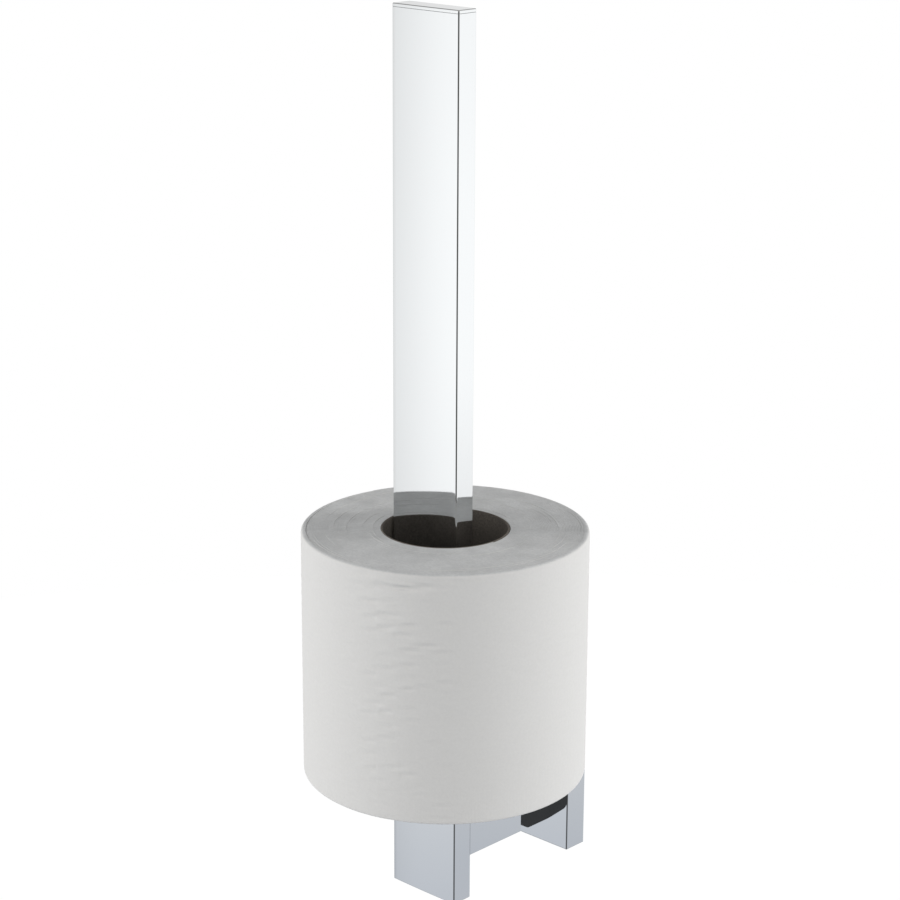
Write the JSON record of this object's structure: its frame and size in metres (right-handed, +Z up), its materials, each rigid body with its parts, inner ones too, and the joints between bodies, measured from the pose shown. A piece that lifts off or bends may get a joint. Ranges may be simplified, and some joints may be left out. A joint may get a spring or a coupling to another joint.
{
  "type": "toilet roll storage holder",
  "caption": "Wall-mounted spare toilet roll store: an upright flat chromed post on a short arm and wall plate, with a loose roll dropped over the post.",
  "frame": {"origin": "centre of the wall plate's back face, in the plane of the wall", "axes": "+Z up along the post, +Y into the wall, +X to the right as seen from the room"},
  "size_m": [0.116, 0.1337, 0.366],
  "materials": {
    "chrome_plate": "polished",
    "black_nylon": "satin",
    "screw_steel": "satin",
    "zinc_plated_steel": "satin",
    "brass": "satin",
    "tissue_paper": "matte",
    "core_cardboard": "matte"
  },
  "bodies": {
    "holder": {"post_tube": "chrome_plate", "top_cap": "chrome_plate", "bottom_cap": "chrome_plate", "post_insert": "brass", "arm": "chrome_plate", "post_screws": "screw_steel", "spacer_block": "black_nylon", "tie_screws": "screw_steel", "tie_washers": "screw_steel", "wall_cover": "chrome_plate", "wall_bracket": "zinc_plated_steel", "grub_screw": "screw_steel"},
    "roll": {"tissue_roll": "tissue_paper", "cardboard_core": "core_cardboard"}
  },
  "joints": [
    {"name": "roll_lift", "type": "slide", "parent": "holder", "child": "roll", "axis": [0, 0, 1], "range_m": [0, 0.312]}
  ]
}
